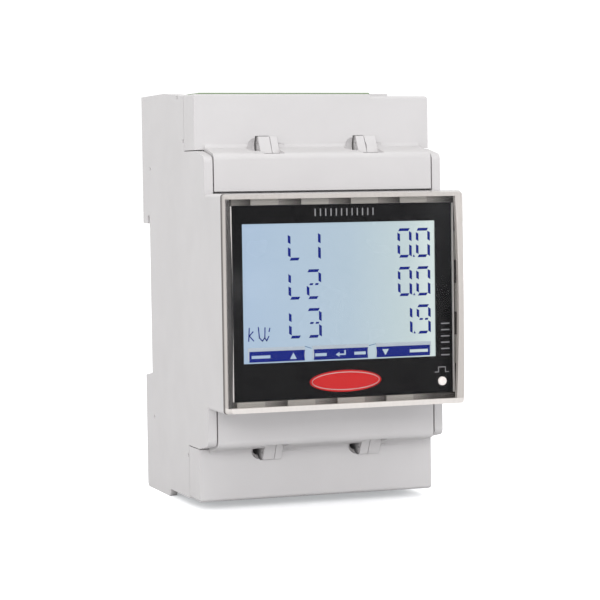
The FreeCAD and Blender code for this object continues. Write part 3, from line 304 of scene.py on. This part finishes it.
def graded_rubber():
    """Dark seal with painted shading: each pad runs from light to dark along its length, as light
    falls off beside a tooth of the ring.
    """
    material = moulded("gasket_rubber", PAD_DARK, roughness=0.5)
    shader = material.node_tree.nodes["Principled BSDF"]
    apart = object_axes(material)
    low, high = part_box("window_ring")
    middle = (low.z + high.z) / 2
    rows = (middle - ROW_BLEND, middle + ROW_BLEND, LOWER_PAD_START, UPPER_PAD_START)
    start = map_range(material, apart, "Z", *rows)
    along = add(material, "ShaderNodeMath", operation="ADD")
    wire(material, apart, "X", along, 0)
    wire(material, start, "Result", along, 1)
    turns = add(material, "ShaderNodeMath", operation="MULTIPLY")
    turns.inputs[1].default_value = 1 / TOOTH_PITCH
    wire(material, along, "Value", turns, 0)
    share = add(material, "ShaderNodeMath", operation="FRACT")
    wire(material, turns, "Value", share, 0)
    off_middle = add(material, "ShaderNodeMath", operation="ABSOLUTE")
    wire(material, apart, "X", off_middle, 0)
    upright = add(material, "ShaderNodeMath", operation="GREATER_THAN")
    upright.inputs[1].default_value = high.x - UPRIGHT_WIDE
    wire(material, off_middle, "Value", upright, 0)
    place_on_pad = add(material, "ShaderNodeMath", operation="MAXIMUM")
    wire(material, share, "Value", place_on_pad, 0)
    wire(material, upright, "Value", place_on_pad, 1)
    # Painted shading: light at the start of each pad, dark towards its end and on the uprights.
    tint = ramp(material, place_on_pad, "Value", PAD_LIGHT, PAD_DARK, PAD_FADE)
    wire(material, tint, "Color", shader, "Base Color")
    return material


def lit_display():
    """A lit liquid crystal display, paler towards its right."""
    low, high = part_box("lcd_glass")
    material = new_material("display_light", (0.05, 0.06, 0.07), 0.25)
    shader = material.node_tree.nodes["Principled BSDF"]
    apart = object_axes(material)
    across = map_range(material, apart, "X", low.x, high.x)
    tint = add(material, "ShaderNodeValToRGB")
    ends = (DISPLAY_STOPS[0], DISPLAY_STOPS[-1])
    for element, (position, color) in zip(tint.color_ramp.elements, ends):
        element.position = position
        element.color = (*color, 1)
    for position, color in DISPLAY_STOPS[1:-1]:
        stop = tint.color_ramp.elements.new(position)
        stop.color = (*color, 1)
    wire(material, across, "Result", tint, "Fac")
    wire(material, tint, "Color", shader, "Emission Color")
    shader.inputs["Emission Strength"].default_value = 1.0
    cloud = ramp(material, noise(material, 0.01, detail=2.0), "Fac", 0.2, 0.3)
    wire(material, cloud, "Color", shader, "Roughness")
    return material


HOUSING = (0.60, 0.585, 0.585)
materials = {
    "housing_plastic": moulded("housing_plastic", HOUSING),
    "clear_window": clear_plastic(),
    "ring_plastic": moulded("ring_plastic", (0.44, 0.42, 0.39), roughness=0.35),
    # This pale material also colours the painted highlight strips along the edges of the black
    # panel.
    "ring_lip": moulded("ring_lip", (0.8, 0.77, 0.75), roughness=0.25),
    "gasket_rubber": graded_rubber(),
    "panel_black": moulded(
        "panel_black", (0.006, 0.006, 0.007), roughness=0.3, spread=0.15, Specular_IOR_Level=0.08
    ),
    "badge_red": moulded("badge_red", (0.72, 0.024, 0.026), roughness=0.3, Specular_IOR_Level=0.15),
    "display_glass": lit_display(),
    "guide_plastic": moulded("guide_plastic", (0.85, 0.88, 0.9), roughness=0.3),
    "white_plastic": moulded("white_plastic", (0.8, 0.8, 0.78)),
    "electrode_film": moulded("electrode_film", (0.5, 0.58, 0.66), roughness=0.3),
    "lamp_plastic": moulded(
        "lamp_plastic",
        (0.92, 0.89, 0.87),
        roughness=0.25,
        Emission_Color=(1, 0.9, 0.86, 1),
        Emission_Strength=0.25,
    ),
    "board_laminate": moulded("board_laminate", (0.02, 0.11, 0.05), roughness=0.3),
    "contact_brass": metal("contact_brass", (0.75, 0.56, 0.27), 0.3),
    "copper_bar": metal("copper_bar", (0.72, 0.36, 0.2), 0.3),
    "coil_casing": moulded("coil_casing", (0.03, 0.05, 0.16), roughness=0.4),
    "transformer_tape": moulded("transformer_tape", (0.6, 0.42, 0.05), roughness=0.35),
    "capacitor_can": metal("capacitor_can", (0.5, 0.52, 0.55), 0.35),
    "film_case": moulded("film_case", (0.55, 0.4, 0.03), roughness=0.35),
    "varistor_coat": moulded("varistor_coat", (0.03, 0.08, 0.3), roughness=0.3),
    "chip_moulding": moulded("chip_moulding", (0.02, 0.02, 0.022), roughness=0.55),
    "crystal_can": metal("crystal_can", (0.7, 0.7, 0.72), 0.25),
    "screw_steel": metal("screw_steel", (0.66, 0.66, 0.68), 0.3),
    "terminal_green": moulded("terminal_green", (0.25, 0.34, 0.20), roughness=0.4),
    "terminal_grey": moulded("terminal_grey", (0.1, 0.104, 0.108), roughness=0.45),
    "clip_plastic": moulded("clip_plastic", (0.6, 0.58, 0.57)),
    "spring_steel": metal("spring_steel", (0.6, 0.6, 0.62), 0.28),
}
INK = moulded("display_ink", (0.008, 0.02, 0.24), roughness=0.3, Specular_IOR_Level=0.08)
LINE_INK = moulded("line_ink", (0.06, 0.16, 0.34), roughness=0.3, Specular_IOR_Level=0.08)
PRINT = moulded("panel_print", (0.32, 0.32, 0.34), roughness=0.4)
PALE_PRINT = moulded("badge_print", (0.75, 0.72, 0.72), roughness=0.4)


# ---------------------------------------------------------------- CAD nodes


# Width of the rounded edges of each node, in millimetres.
BEVELS = {
    "main_housing": 0.25,
    "rear_cover": 0.2,
    "upper_terminal_cover": 0.18,
    "lower_terminal_cover": 0.18,
    "din_clip": 0.2,
    "upper_terminal_block": 0.15,
    "lower_terminal_block": 0.15,
    "window_ring": 0.06,
    "badge_plate": 0.08,
    "pulse_light_pipe": 0.15,
}
WELD_GAP = 2e-6
SHARP_ANGLE = 40


def soften(item, width):
    """Rounds the sharp edges of a CAD node slightly, as a mould does."""
    weld = item.modifiers.new("weld", "WELD")
    weld.merge_threshold = WELD_GAP
    bevel = item.modifiers.new("soft_edges", "BEVEL")
    bevel.width = width * MM
    bevel.segments = 2
    bevel.limit_method = "ANGLE"
    bevel.angle_limit = math.radians(SHARP_ANGLE)
    bevel.use_clamp_overlap = True
    bevel.harden_normals = True


slot_of = {part["node"]: part["material_slot"] for part in frame["record"]["subparts"]}
for node, item in nodes.items():
    item.data.materials.clear()
    item.data.materials.append(materials[slot_of[node]])
    for polygon in item.data.polygons:
        polygon.material_index = 0
    if node in BEVELS:
        soften(item, BEVELS[node])


# ---------------------------------------------------------------- pieces


def place_mesh(name, mesh, material):
    """Turns a built mesh into an object of this name and material in the scene."""
    data = bpy.data.meshes.new(name)
    mesh.to_mesh(data)
    mesh.free()
    data.materials.append(material)
    item = bpy.data.objects.new(name, data)
    scene.collection.objects.link(item)
    return item


def flat_shape(name, outlines, front, thickness, material, body="meter_body"):
    """Thin raised shapes on a plane that faces the viewer. Each outline is a list of (X, Z) in
    millimetres, and front is the Y place of their front face in metres."""
    mesh = bmesh.new()
    for corners in outlines:
        front_ring = [mesh.verts.new((x * MM, front, z * MM)) for x, z in corners]
        back_ring = [mesh.verts.new((x * MM, front + thickness, z * MM)) for x, z in corners]
        count = len(corners)
        mesh.faces.new(front_ring)
        mesh.faces.new(list(reversed(back_ring)))
        for index in range(count):
            after = (index + 1) % count
            front_edge = (front_ring[after], front_ring[index])
            mesh.faces.new((*front_edge, back_ring[index], back_ring[after]))
    bmesh.ops.recalc_face_normals(mesh, faces=mesh.faces)
    item = place_mesh(name, mesh, material)
    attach(item, body)
    return item


def stroke(points, width):
    """Outline quads of a line of this width through the points, one per straight stretch."""
    quads = []
    for (x1, z1), (x2, z2) in zip(points, points[1:]):
        length = math.hypot(x2 - x1, z2 - z1)
        dx, dz = (x2 - x1) / length * width / 2, (z2 - z1) / length * width / 2
        quads.append(
            [
                (x1 - dx - dz, z1 - dz + dx),
                (x2 + dx - dz, z2 + dz + dx),
                (x2 + dx + dz, z2 + dz - dx),
                (x1 - dx + dz, z1 - dz - dx),
            ]
        )
    return quads


# Seven segments of a numeral, in millimetres. The middle one is in two halves.
NUMERAL_WIDE = 2.65
NUMERAL_HALF = 2.83
NUMERAL_GAP = 0.32
BAR = 0.6
MIDDLE_BAR = 0.42
MIDDLE_CUT = 0.15
SEGMENTS_OF = {
    "0": "abcdef",
    "1": "bc",
    "2": "abged",
    "3": "abgcd",
    "9": "abcdfg",
    "L": "def",
}


def slanted_bar(x1, z1, x2, z2, thick=BAR, cut=0.35):
    """A segment with its ends cut at a slant."""
    upright = abs(x2 - x1) < abs(z2 - z1)
    half = thick / 2
    if upright:
        return [(x1 - half, z1 + cut), (x1 + half, z1), (x2 + half, z2 - cut), (x2 - half, z2)]
    return [(x1, z1 - half), (x1 + cut, z1 + half), (x2, z2 + half), (x2 - cut, z2 - half)]


def numeral(sign, left, middle):
    """The lit segments of a numeral, with its left bar at X left and its middle at Z middle."""
    right = left + NUMERAL_WIDE
    top = middle + NUMERAL_HALF
    bottom = middle - NUMERAL_HALF
    gap = NUMERAL_GAP
    parts = {
        "a": [slanted_bar(left - 0.1, top, right - 0.1, top)],
        "d": [slanted_bar(left + 0.05, bottom, right - 0.35, bottom)],
        "b": [slanted_bar(right, middle + gap, right, top - gap)],
        "c": [slanted_bar(right, bottom - 0.1, right, middle - gap)],
        "f": [slanted_bar(left, middle + gap, left, top - gap - 0.25)],
        "e": [slanted_bar(left, bottom + gap + 0.05, left, middle - gap)],
        "g": [
            slanted_bar(left + 0.3, middle, left + 1.2, middle, MIDDLE_BAR, MIDDLE_CUT),
            slanted_bar(left + 1.55, middle, left + 2.4, middle, MIDDLE_BAR, MIDDLE_CUT),
        ],
    }
    return [outline for name in SEGMENTS_OF[sign] for outline in parts[name]]


glass_low, glass_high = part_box("lcd_glass")
LCD_X = (glass_low.x + glass_high.x) / 2 / MM
LCD_Z = (glass_low.z + glass_high.z) / 2 / MM
LCD_FRONT = glass_low.y
ROWS = (9.88, 1.68, -6.48)
READING = ("0.0", "0.0", "1.9")
NAMES = ("L1", "L2", "L3")
LEFT_COLUMNS = (-11.15, -7.1)
RIGHT_COLUMNS = (13.5, 17.72)
POINT_X = 16.92
POINT_DROP = 0.2
POINT_HALF = 0.28
POINT_HIGH = 0.55
UNIT_LINE = 0.24
FIELD_LINE = 0.13


def display_segments():
    """Lit segments: a line name at the left and a reading at the right of each of three rows."""
    outlines = []
    for row, name, reading in zip(ROWS, NAMES, READING):
        for sign, left in zip(name, LEFT_COLUMNS):
            outlines += numeral(sign, left, row)
        for sign, left in zip(reading.replace(".", ""), RIGHT_COLUMNS):
            outlines += numeral(sign, left, row)
        low = row - NUMERAL_HALF - POINT_DROP
        left, right = POINT_X - POINT_HALF, POINT_X + POINT_HALF
        outlines.append([(left, low), (right, low), (POINT_X, low + POINT_HIGH)])
    return outlines


def unit_sign():
    """The unit at the lower left, in thin strokes."""
    strokes = [
        [(-20.2, -7.15), (-20.35, -9.8)],
        [(-19.4, -7.9), (-20.2, -8.75), (-19.3, -9.75)],
        [(-18.2, -7.05), (-18.0, -9.2), (-17.35, -9.9), (-16.8, -9.2), (-16.75, -7.15)],
        [(-16.8, -9.3), (-16.4, -9.85), (-15.95, -9.0)],
        [(-15.85, -7.9), (-15.7, -7.3)],
    ]
    return [quad for points in strokes for quad in stroke(points, UNIT_LINE)]


KEY_LOW = -14.3
KEY_HIGH = -12.05
KEY_DIP = 0.12
KEY_MIDDLE = -13.22
KEY_DASH = 0.62
ARROW_LINE = 0.3
KEYS = ((-20.3, -8.03), (-6.05, 6.15), (8.06, 20.35))


def key_bars():
    """The three touch fields in dark ink; their signs are pale shapes on top."""
    outlines = []
    for index, (left, right) in enumerate(KEYS):
        middle = (KEY_LOW + KEY_HIGH) / 2
        left_dip = KEY_DIP if index > 0 else 0.0
        right_dip = KEY_DIP if index < len(KEYS) - 1 else 0.0
        outlines.append(
            [
                (left, KEY_LOW),
                (right, KEY_LOW),
                (right - right_dip, middle),
                (right, KEY_HIGH),
                (left, KEY_HIGH),
                (left + left_dip, middle),
            ]
        )
    return outlines


def key_signs():
    """Pale dashes, arrows and triangles inside the touch fields."""
    half = KEY_DASH / 2
    shapes = []
    for left, right in ((-19.8, -15.7), (-5.75, -3.2), (3.05, 5.6), (15.7, 19.85)):
        shapes += stroke([(left + half, KEY_MIDDLE), (right - half, KEY_MIDDLE)], KEY_DASH)
    shapes.append([(-11.35, -13.88), (-9.88, -13.88), (-10.6, -12.55)])
    shapes.append([(9.4, -12.6), (10.88, -12.6), (10.12, -13.88)])
    shapes.append([(-1.15, -13.32), (-0.3, -12.8), (-0.3, -13.84)])
    shapes += stroke([(-0.35, -13.32), (0.95, -13.32), (0.95, -12.62)], ARROW_LINE)
    return shapes


def field_lines():
    """Thin dark lines above the outer touch fields."""
    outlines = stroke([(-20.4, -11.42), (-7.9, -11.36), (-6.6, -11.78)], FIELD_LINE)
    return outlines + stroke([(20.3, -11.42), (7.9, -11.42), (6.5, -11.72)], FIELD_LINE)


def on_display(outlines):
    """The outlines moved from the middle of the display to its place on the meter."""
    return [[(x + LCD_X, z + LCD_Z) for x, z in corners] for corners in outlines]


INK_THICK = 0.00002
electrode_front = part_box("touch_electrodes")[0].y
for name, outlines, ink in (
    ("display_segments", display_segments(), INK),
    ("unit_sign", unit_sign(), INK),
    ("field_lines", field_lines(), LINE_INK),
):
    flat_shape(name, on_display(outlines), LCD_FRONT - INK_THICK, INK_THICK, ink)
flat_shape("key_bars", on_display(key_bars()), electrode_front - INK_THICK, INK_THICK, INK)
flat_shape(
    "key_signs",
    on_display(key_signs()),
    electrode_front - 3 * INK_THICK,
    2 * INK_THICK,
    materials["display_glass"],
)


# ---------------------------------------------------------------- panel print


mask_low, mask_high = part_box("display_mask")
lamp_low, lamp_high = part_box("pulse_light_pipe")
PANEL_FRONT = mask_low.y
LAMP_X = (lamp_low.x + lamp_high.x) / 2 / MM
LAMP_Z = (lamp_low.z + lamp_high.z) / 2 / MM
TOP_TICKS = {"start": (-6.4, 64.25), "step": 1.18, "count": 12, "length": 1.3}
SIDE_TICKS = {"start": (22.85, 33.2), "step": 1.35, "count": 6, "length": 1.7}
TICK_WIDE = 0.26
PULSE_RISE = 1.95
PULSE_HIGH = 1.05
PULSE_LINE = 0.2
# Inset and width of the painted highlight strips along the black panel's edges.
HIGHLIGHT_INSET = 0.1
HIGHLIGHT_WIDE = 0.24


def tick_row(start, step, count, length, width, upright):
    """A plain row of printed ticks: upright ones run to the right and level ones run upwards."""
    shapes = []
    for index in range(count):
        if upright:
            x, z = start[0] + index * step, start[1]
            shapes += stroke([(x, z - length / 2), (x, z + length / 2)], width)
        else:
            x, z = start[0], start[1] + index * step
            shapes += stroke([(x - length / 2, z), (x + length / 2, z)], width)
    return shapes


def panel_marks():
    """Generic printed marks: tick rows above and beside the display, and a pulse line over the
    lamp."""
    shapes = tick_row(**TOP_TICKS, width=TICK_WIDE, upright=True)
    shapes += tick_row(**SIDE_TICKS, width=TICK_WIDE, upright=False)
    low = LAMP_Z + PULSE_RISE
    high = low + PULSE_HIGH
    pulse = [(-1.55, low), (-0.8, low), (-0.8, high), (0.8, high), (0.8, low), (1.5, low)]
    shapes += stroke([(LAMP_X + x, z) for x, z in pulse], PULSE_LINE)
    return shapes


flat_shape("panel_marks", panel_marks(), PANEL_FRONT - INK_THICK, INK_THICK, PRINT)


def painted_highlight_strips():
    """Painted highlights: thin bright strips along the left and right edges of the black panel,
    where the window's edges catch the light.
    """
    ring_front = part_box("window_ring")[0].y
    low, high = mask_low.z / MM + HIGHLIGHT_INSET, mask_high.z / MM - HIGHLIGHT_INSET
    left, right = mask_low.x / MM, mask_high.x / MM
    shapes = []
    for highlight_right in (left, right - HIGHLIGHT_WIDE):
        highlight_left = highlight_right - HIGHLIGHT_WIDE
        shapes.append([(highlight_left, low), (highlight_right, low), (highlight_right, high), (highlight_left, high)])
    deep = PANEL_FRONT - ring_front
    flat_shape("painted_highlight_strips", shapes, ring_front - INK_THICK, deep, materials["ring_lip"])


painted_highlight_strips()


OVAL_STEPS = 64
BADGE_INSET = 0.45
BADGE_LINE = 0.14


def oval_ring(name, node, inset, width, material):
    """A raised oval line round a flat oval node."""
    low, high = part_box(node)
    centre_x, centre_z = (low.x + high.x) / 2 / MM, (low.z + high.z) / 2 / MM
    long, short = (high.x - low.x) / 2 / MM - inset, (high.z - low.z) / 2 / MM - inset
    points = []
    for index in range(OVAL_STEPS + 1):
        angle = 2 * math.pi * index / OVAL_STEPS
        points.append((centre_x + long * math.cos(angle), centre_z + short * math.sin(angle)))
    return flat_shape(name, stroke(points, width), low.y - INK_THICK, INK_THICK, material)


oval_ring("badge_line", "badge_plate", BADGE_INSET, BADGE_LINE, PALE_PRINT)


# ---------------------------------------------------------------- clip spring


COIL_TURNS = 7
COIL_STEPS = 24
COIL_CORNERS = 10
END_TURNS = 0.75
WIRE_RADIUS = 0.25 * MM


def coil_spring(name, node, turns, wire_radius, material):
    """A round-wire coil with flat ends, in place of the CAD coil."""
    low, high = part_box(node)
    centre = (low + high) / 2
    radius = (high.x - low.x) / 2 - wire_radius
    steps = turns * COIL_STEPS
    upwards = Vector((0, 0, 1))
    height = high.z - low.z - 2 * wire_radius
    mesh = bmesh.new()
    rings = []
    for step in range(steps + 1):
        share = step / steps
        turn = share * turns
        eased = min(max((turn - END_TURNS) / (turns - 2 * END_TURNS), 0), 1)
        angle = 2 * math.pi * turn
        out = Vector((math.cos(angle), math.sin(angle), 0))
        spot = Vector((centre.x, centre.y, low.z + wire_radius + eased * height)) + out * radius
        ring = []
        for corner in range(COIL_CORNERS):
            lean = 2 * math.pi * corner / COIL_CORNERS
            offset = math.cos(lean) * out + math.sin(lean) * upwards
            ring.append(mesh.verts.new(spot + wire_radius * offset))
        rings.append(ring)
    for first, second in zip(rings, rings[1:]):
        for corner in range(COIL_CORNERS):
            after = (corner + 1) % COIL_CORNERS
            mesh.faces.new((first[corner], first[after], second[after], second[corner]))
    mesh.faces.new(list(reversed(rings[0])))
    mesh.faces.new(rings[-1])
    bmesh.ops.recalc_face_normals(mesh, faces=mesh.faces)
    for face in mesh.faces:
        face.smooth = True
    item = place_mesh(name, mesh, material)
    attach(item, "meter_body")
    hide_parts(node)
    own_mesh(item)
    return item


coil_spring("clip_coil", "clip_spring", COIL_TURNS, WIRE_RADIUS, materials["spring_steel"])


# ---------------------------------------------------------------- floor, light and camera


FLOOR_SIZE = 6.0
FLOOR_CLOUD = 0.2
WORLD_STRENGTH = 1.1
ZONE_AHEAD = (-0.25, -0.7)
ZONE_HEIGHT = (0.65, 0.3)
ZONE_COLOR = (0.45, 0.45, 0.46)
FRAME_WIDE = 36
WHITE = (1, 1, 1)

# Name, place, aim, width and height in metres, power in watts, and colour.
LIGHTS = (
    ("overhead", (0.0, -0.3, 1.0), (0, 0, 0.0), (0.8, 0.6), 0.7, WHITE),
    ("key", (-0.36, -0.93, 0.42), (0, 0, 0.03), (0.8, 0.3), 3.15, WHITE),
    ("low_front", (-0.1, -0.8, 0.05), (0, 0, 0.02), (0.7, 0.07), 0.45, WHITE),
    ("left_fill", (-1.0, -0.25, 0.25), (0, 0, 0.03), (0.5, 0.4), 0.5, WHITE),
    ("window_glow", (0.58, -0.95, 0.15), (0, -0.03, 0.05), (0.3, 0.4), 1.35, (0.93, 0.95, 1.0)),
)


def floor():
    """A pale floor that shows brighter than the light that it bounces on to the meter."""
    material = new_material(
        "floor",
        (0.93, 0.93, 0.935),
        0.55,
        Emission_Color=(0.96, 0.98, 1, 1),
        Emission_Strength=0.42,
    )
    tree = material.node_tree
    bounce = add(material, "ShaderNodeBsdfDiffuse", Color=(0.68, 0.68, 0.685, 1))
    path = add(material, "ShaderNodeLightPath")
    seen = add(material, "ShaderNodeMixShader")
    wire(material, path, "Is Camera Ray", seen, "Fac")
    tree.links.new(bounce.outputs["BSDF"], seen.inputs[1])
    tree.links.new(tree.nodes["Principled BSDF"].outputs["BSDF"], seen.inputs[2])
    tree.links.new(seen.outputs["Shader"], tree.nodes["Material Output"].inputs["Surface"])
    shader = material.node_tree.nodes["Principled BSDF"]
    cloud = noise(material, FLOOR_CLOUD, detail=2.0)
    tone = ramp(material, cloud, "Fac", (0.92, 0.92, 0.925), (0.94, 0.94, 0.945))
    wire(material, tone, "Color", shader, "Base Color")
    bpy.ops.mesh.primitive_plane_add(size=FLOOR_SIZE, location=(0, 0, 0))
    item = bpy.context.object
    item.name = "floor"
    item.data.materials.append(material)


def studio_walls(world):
    """A white room with a darker zone low in front, where the photographer stands."""
    background = world.node_tree.nodes["Background"]
    direction = add(world, "ShaderNodeTexCoord")
    apart = add(world, "ShaderNodeSeparateXYZ")
    wire(world, direction, "Generated", apart, "Vector")
    ahead = map_range(world, apart, "Y", *ZONE_AHEAD, kind="SMOOTHSTEP")
    low = map_range(world, apart, "Z", *ZONE_HEIGHT, kind="SMOOTHSTEP")
    zone = add(world, "ShaderNodeMath", operation="MULTIPLY")
    wire(world, ahead, "Result", zone, 0)
    wire(world, low, "Result", zone, 1)
    tone = ramp(world, zone, "Value", 1.0, ZONE_COLOR, (0.0, 1.0))
    wire(world, tone, "Color", background, "Color")
    background.inputs["Strength"].default_value = WORLD_STRENGTH


def area_light(name, place, aim, size, power, color):
    """A rectangular light at a place that shines towards its aim."""
    data = bpy.data.lights.new(name, "AREA")
    data.shape = "RECTANGLE"
    data.size, data.size_y = size
    data.energy = power
    data.color = color
    item = bpy.data.objects.new(name, data)
    item.location = place
    item.rotation_euler = (Vector(aim) - Vector(place)).to_track_quat("-Z", "Y").to_euler()
    scene.collection.objects.link(item)


def camera(yaw, pitch, roll, distance, target, focal):
    """A camera that looks at the target. Angles are in degrees and the lens is in millimetres."""
    yaw, pitch, roll = (math.radians(angle) for angle in (yaw, pitch, roll))
    level = math.cos(pitch)
    back = Vector((math.sin(yaw) * level, -math.cos(yaw) * level, math.sin(pitch)))
    right = Vector((math.cos(yaw), math.sin(yaw), 0))
    up = back.cross(right)
    axis_x = math.cos(roll) * right + math.sin(roll) * up
    axis_y = math.cos(roll) * up - math.sin(roll) * right
    data = bpy.data.cameras.new("camera")
    data.sensor_width = FRAME_WIDE
    data.lens = focal
    data.clip_start = 0.01
    item = bpy.data.objects.new("camera", data)
    turn = Matrix((axis_x, axis_y, back)).transposed().to_4x4()
    item.matrix_world = Matrix.Translation(target + back * distance) @ turn
    scene.collection.objects.link(item)
    scene.camera = item


floor()
world = bpy.data.worlds.new("studio")
world.use_nodes = True
scene.world = world
studio_walls(world)
for light in LIGHTS:
    area_light(*light)
camera(
    yaw=-19.119,
    pitch=3.099,
    roll=-0.806,
    distance=0.485318,
    target=Vector((-0.000013, 0, 0.044315)),
    focal=130.26,
)
scene.view_settings.view_transform = "Standard"
